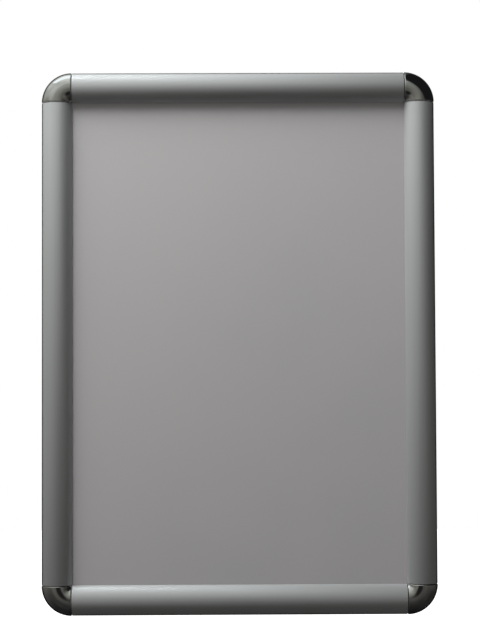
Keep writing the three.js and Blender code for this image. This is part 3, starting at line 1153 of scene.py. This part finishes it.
# World: white behind the frame, and a soft warm grey for the light on it. The metal doesn't show the
# white, because a closed room stands round it
ambient = {"colour": "#fffaf6", "strength": 0.26}
world = bpy.data.worlds.new("studio")
bpy.context.scene.world = world
world.use_nodes = True
air = world.node_tree
air.nodes.clear()
plain = addNode(air, "ShaderNodeBackground", {
    "Color": colour(ambient["colour"]),
    "Strength": ambient["strength"],
})
white = addNode(air, "ShaderNodeBackground", {"Color": (1, 1, 1, 1), "Strength": 1.0})
mixedAir = addNode(air, "ShaderNodeMixShader", {
    0: shownShare(air), 1: plain.outputs[0], 2: white.outputs[0],
})
addNode(air, "ShaderNodeOutputWorld", {"Surface": mixedAir.outputs[0]})

# Pale floor below, a matt board that keeps the frame's shadow and fades to white far away
floor = {
    "colour": "#e6e5e3",
    "mottle": "#ecebea",
    "mottle size": 1 / 3,  # metres, like the height, radius and fade
    "height": -0.98,
    "radius": 6,
    "fade": (0.8, 3.5),
    "lift": (0.3, 1.0),
}


def paleFloor():
    made, tree, place = newMaterial("painted board")
    mottle = addNode(tree, "ShaderNodeTexNoise", {
        "Vector": place,
        "Scale": 1 / floor["mottle size"],
        "Detail": 3.0,
    }).outputs["Fac"]
    tint = addNode(tree, "ShaderNodeMix", {
        "Factor": mottle,
        6: colour(floor["colour"]), 7: colour(floor["mottle"]),
    }, data_type="RGBA").outputs[2]
    away = addNode(tree, "ShaderNodeVectorMath", {0: place}, operation="LENGTH").outputs["Value"]
    glow = addNode(tree, "ShaderNodeMapRange", {
        "Value": away,
        "From Min": floor["fade"][0], "From Max": floor["fade"][1],
        "To Min": floor["lift"][0], "To Max": floor["lift"][1],
    }, interpolation_type="SMOOTHSTEP").outputs["Result"]
    lift = addNode(tree, "ShaderNodeMath", {
        0: shownShare(tree), 1: glow,
    }, operation="MULTIPLY").outputs[0]
    shader = addNode(tree, "ShaderNodeBsdfPrincipled", {
        "Base Color": tint,
        "Roughness": 0.8,
        "Emission Color": (1, 1, 1, 1),
        "Emission Strength": lift,
    })
    addNode(tree, "ShaderNodeOutputMaterial", {"Surface": shader.outputs["BSDF"]})
    return made


facets = range(facetCounts["floor"])
rim = [polar(origin, floor["radius"], 360 * i / len(facets)) for i in facets]
board = fromFaces("floor", [(x, y, floor["height"]) for x, y in rim], [tuple(facets)])
board.data.materials.append(paleFloor())


# What only the metal mirrors, and neither the camera nor matt surfaces see
def onlyMirrored(thing, material):
    thing.data.materials.append(material)
    for ray in ("camera", "diffuse", "transmission", "shadow"):
        setattr(thing, f"visible_{ray}", False)


# Room round the frame: dim below, light above, and dark again high on the right
room = {
    "radius": (1.6, 1.6, 1.2),
    "facets": (64, 40),
    "heights": [  # from the bottom up
        (0.0, "#1b1b1c"), (0.1, "#343333"), (0.21, "#464544"), (0.36, "#676562"), (0.5, "#7a7874"),
        (0.67, "#8f8e89"), (0.75, "#a5a6a1"), (0.84, "#bcbebb"), (0.92, "#d2d4d1"), (1.0, "#dfe1e0"),
    ],
    "sides above": [  # from left to right
        (0.0, 0.8), (0.2, 1.15), (0.42, 1.05), (0.56, 0.7), (0.68, 0.4), (0.8, 0.18), (1.0, 0.1),
    ],
    "sides below": [(0.0, 1.15), (0.5, 0.95), (0.8, 0.7), (1.0, 0.4)],
    "above": (0.4, 0.58),  # between these heights the sides turn from below to above
    # from the frame's plane to straight behind it
    "behind": [(0.0, 1.0), (0.08, 0.3), (0.2, 0.06), (0.35, 0.1), (0.6, 1.1), (1.0, 1.9)],
    "things size": 0.6,
    "things": (0.8, 1.2),  # faint darker and lighter places all over the walls
}


def roomWalls():
    made, tree, place = newMaterial("room walls")
    across, deep, high = room["radius"]
    parts = addNode(tree, "ShaderNodeSeparateXYZ", {"Vector": place})
    shares = {}
    for axis, start, end in (("X", -across, across), ("Y", 0.0, deep), ("Z", -high, high)):
        shares[axis] = addNode(tree, "ShaderNodeMapRange", {
            "Value": parts.outputs[axis],
            "From Min": start, "From Max": end,
        }).outputs["Result"]
    tones = {}
    for name, axis in (("heights", "Z"), ("sides below", "X"), ("sides above", "X"), ("behind", "Y")):
        ramp = addNode(tree, "ShaderNodeValToRGB", {"Fac": shares[axis]})
        points = ramp.color_ramp.elements
        while len(points) > 1:
            points.remove(points[-1])
        for i, (position, look) in enumerate(room[name]):
            point = points[0] if i == 0 else points.new(position)
            point.position = position
            point.color = colour(look) if isinstance(look, str) else (look, look, look, 1)
        tones[name] = ramp.outputs["Color"]
    things = addNode(tree, "ShaderNodeTexNoise", {
        "Vector": place,
        "Scale": 1 / room["things size"],
        "Detail": 2.0,
    }).outputs["Fac"]
    thingTone = addNode(tree, "ShaderNodeMapRange", {
        "Value": things,
        "From Min": 0.38, "From Max": 0.62,
        "To Min": room["things"][0], "To Max": room["things"][1],
    }).outputs["Result"]
    above = addNode(tree, "ShaderNodeMapRange", {
        "Value": shares["Z"],
        "From Min": room["above"][0], "From Max": room["above"][1],
    }, interpolation_type="SMOOTHSTEP").outputs["Result"]
    level = addNode(tree, "ShaderNodeMix", {
        "Factor": above,
        6: tones["sides below"], 7: tones["sides above"],
    }, data_type="RGBA").outputs[2]
    for tone in (tones["behind"], thingTone):
        level = addNode(tree, "ShaderNodeMath", {
            0: level, 1: tone,
        }, operation="MULTIPLY").outputs[0]
    glow = addNode(tree, "ShaderNodeEmission", {"Color": tones["heights"], "Strength": level})
    addNode(tree, "ShaderNodeOutputMaterial", {"Surface": glow.outputs[0]})
    return made


def roomShell():
    verts = []
    turns, rows = room["facets"]
    across, deep, high = room["radius"]
    for row in range(rows + 1):
        tilt = math.pi * row / rows
        for i in range(turns):
            spin = 2 * math.pi * i / turns
            x, z = math.sin(tilt) * math.cos(spin), math.sin(tilt) * math.sin(spin)
            verts.append((across * x, -deep * math.cos(tilt), high * z))
    shell = fromFaces("room", verts, facesBetween(rows + 1, turns))
    shell.location = middle
    onlyMirrored(shell, roomWalls())


roomShell()
board.visible_glossy = False  # the room's own dark floor shows in the metal
board.visible_diffuse = False

# What hangs and stands before the frame: a softbox high on the left, a black cloth high on the right
# and a dark stand below, both fading out at the edge. Only the chromed caps show them clearly
around = {
    "softbox": {
        "colour": "#f3fbff",
        "strength": 1.6,
        "fade": 0.0,
        "corners": [(-0.85, -0.42, 0.8), (-0.12, -0.42, 0.8), (-0.12, -0.08, 0.8), (-0.85, -0.08, 0.8)],
    },
    "black cloth": {
        "colour": "#1c1c1e",
        "strength": 1.0,
        "fade": 0.3,
        "corners": [(0.06, -1.15, 0.85), (1.3, -1.15, -0.08), (1.3, 0.5, -0.08), (0.06, 0.5, 0.85)],
    },
    "dark stand": {
        "colour": "#232223",
        "strength": 1.0,
        "fade": 0.6,
        "corners": [
            (-0.32, -0.8, -0.73), (0.28, -0.8, -0.73), (0.28, -0.8, -0.15), (-0.32, -0.8, -0.15),
        ],
    },
}


# An even glow. Where it fades, it is clear outside the round that fits between the sheet's edges
def glowing(name, look, centre, reach):
    made, tree, place = newMaterial(name)
    glow = addNode(tree, "ShaderNodeEmission", {
        "Color": colour(look["colour"]),
        "Strength": look["strength"],
    })
    surface = glow.outputs[0]
    if look["fade"]:
        away = addNode(tree, "ShaderNodeVectorMath", {
            0: place, 1: centre,
        }, operation="DISTANCE").outputs["Value"]
        clear = addNode(tree, "ShaderNodeMapRange", {
            "Value": away,
            "From Min": reach * (1 - look["fade"]), "From Max": reach,
        }, interpolation_type="SMOOTHSTEP").outputs["Result"]
        nothing = addNode(tree, "ShaderNodeBsdfTransparent")
        surface = addNode(tree, "ShaderNodeMixShader", {
            0: clear, 1: surface, 2: nothing.outputs[0],
        }).outputs[0]
    addNode(tree, "ShaderNodeOutputMaterial", {"Surface": surface})
    return made


for name, look in around.items():
    points = [Vector(p) for p in look["corners"]]
    centre = sum(points, Vector()) / len(points)
    edges = zip(points, points[1:] + points[:1])
    reach = min(((a + b) / 2 - centre).length for a, b in edges)
    sheet = fromFaces(name.replace(" ", "_"), look["corners"], [(0, 1, 2, 3)])
    onlyMirrored(sheet, glowing(name, look, centre, reach))
bpy.context.scene.view_settings.view_transform = "Standard"
print("camera, lamps and room placed")
